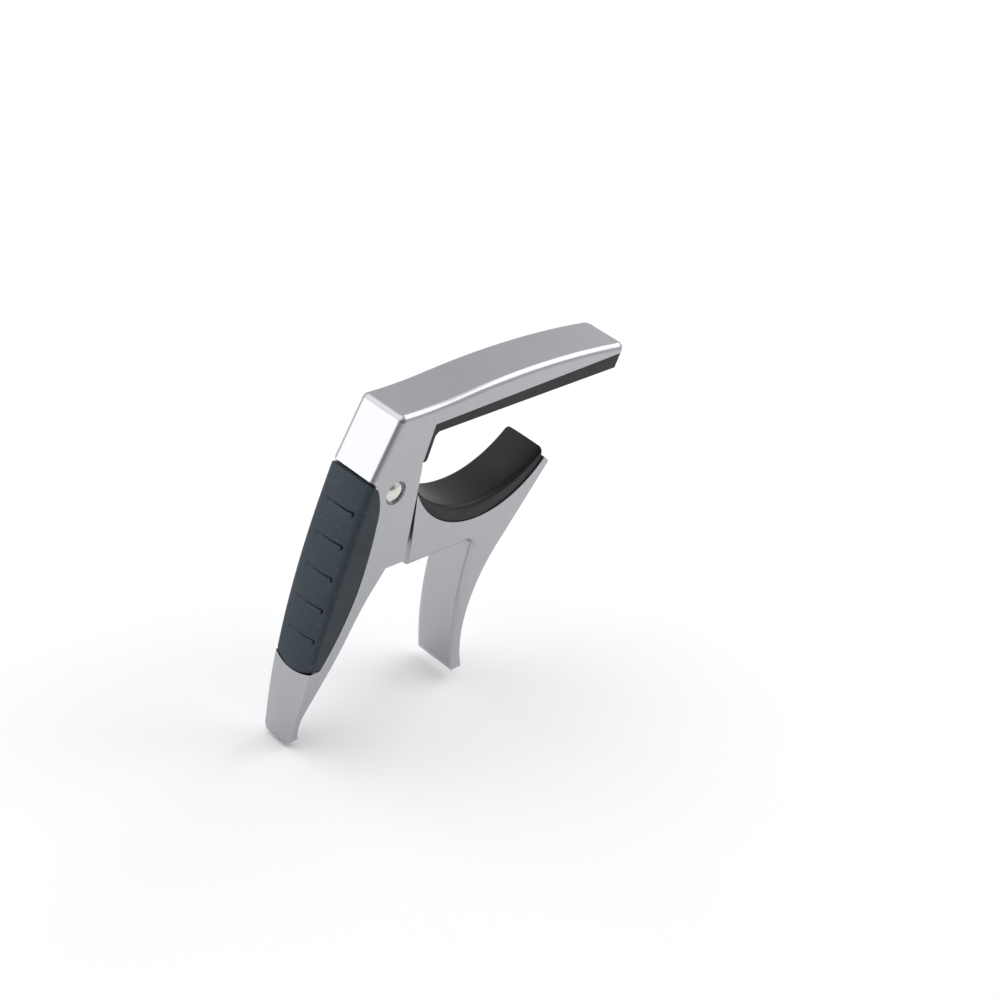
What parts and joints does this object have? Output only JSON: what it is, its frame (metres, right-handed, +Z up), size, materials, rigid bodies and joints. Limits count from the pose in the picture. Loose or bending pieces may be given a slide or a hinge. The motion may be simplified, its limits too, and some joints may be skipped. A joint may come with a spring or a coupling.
{
  "type": "guitar capo",
  "caption": "Spring capo with a straight padded bar, a curved padded jaw on a pivoting trigger lever, and a rubber-backed squeeze handle.",
  "frame": {"origin": "on the string pad's contact face, at the middle of its length and width", "axes": "+X across the neck from the handle to the bar's free end, +Y along the neck, +Z up away from the strings"},
  "size_m": [0.0882, 0.0136, 0.0852],
  "materials": {
    "satin_metal": "satin silver casting",
    "grip_rubber": "matte, fine speckle",
    "pad_rubber": "smooth soft rubber",
    "pin_steel": "polished nickel",
    "spring_steel": "oiled spring wire",
    "bush_plastic": "natural nylon"
  },
  "bodies": {
    "body": {"body_casting": "satin_metal", "handle_grip": "grip_rubber", "string_pad": "pad_rubber", "pivot_pin": "pin_steel", "pin_cap": "pin_steel", "torsion_spring": "spring_steel", "spring_bush": "bush_plastic", "thrust_washer_front": "bush_plastic", "thrust_washer_rear": "bush_plastic"},
    "lever": {"clamp_lever": "satin_metal", "neck_pad": "pad_rubber"}
  },
  "joints": [
    {"name": "lever_pivot", "type": "hinge", "parent": "body", "child": "lever", "pos_m": [-0.0383, 0, -0.0122], "axis": [0, 1, 0], "range_deg": [-16, 5.5], "stiffness_Nm_per_rad": 1.2, "deforming": ["torsion_spring"]}
  ]
}
